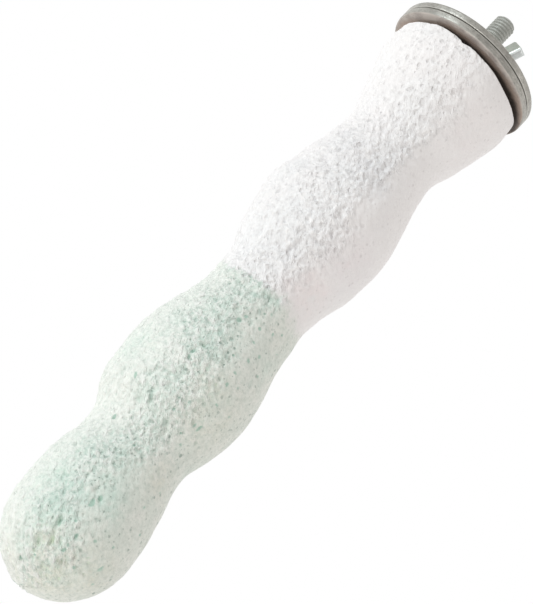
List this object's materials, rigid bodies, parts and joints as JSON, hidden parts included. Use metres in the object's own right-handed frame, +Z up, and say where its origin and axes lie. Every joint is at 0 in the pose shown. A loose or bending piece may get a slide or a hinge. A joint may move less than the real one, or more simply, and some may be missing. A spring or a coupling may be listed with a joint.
{
  "type": "bird perch",
  "caption": "Wavy cast mineral cage perch, white running into mint green, on a bolt with large flat washers and a wing nut that grip the cage wires.",
  "frame": {"origin": "on the bolt's axis, in the middle of the gap between the two washers, where the cage wires are gripped", "axes": "+Y along the bolt, from the stick through the cage wall to the wing nut; the stick's tip points to -Y; +Z up when the perch hangs on a vertical cage wall; +X to the right seen from the tip"},
  "size_m": [0.0443, 0.2024, 0.042],
  "materials": {
    "white_mineral": "matte",
    "mint_mineral": "matte",
    "dowel_wood": "matte",
    "bolt_zinc": "satin",
    "washer_steel": "satin",
    "nut_zinc": "satin"
  },
  "bodies": {
    "perch": {"white_casting": "white_mineral", "mint_casting": "mint_mineral", "core_dowel": "dowel_wood", "hanger_bolt": "bolt_zinc"},
    "inner_washer": {"inner_washer": "washer_steel"},
    "outer_washer": {"outer_washer": "washer_steel"},
    "wing_nut": {"wing_nut": "nut_zinc"}
  },
  "joints": [
    {"name": "inner_washer_spin", "type": "hinge", "parent": "perch", "child": "inner_washer", "pos_m": [0, -0.00115, 0], "axis": [0, 1, 0], "continuous": true},
    {"name": "outer_washer_slide", "type": "slide", "parent": "perch", "child": "outer_washer", "axis": [0, 1, 0], "range_m": [0, 0.01]},
    {"name": "wing_nut_turn", "type": "hinge", "parent": "outer_washer", "child": "wing_nut", "pos_m": [0, 0.0056, 0], "axis": [0, 1, 0], "range_deg": [0, 3600]}
  ],
  "couplings": [
    {"joint": "outer_washer_slide", "follows": "wing_nut_turn", "m_per_rad": 0.00015915}
  ]
}
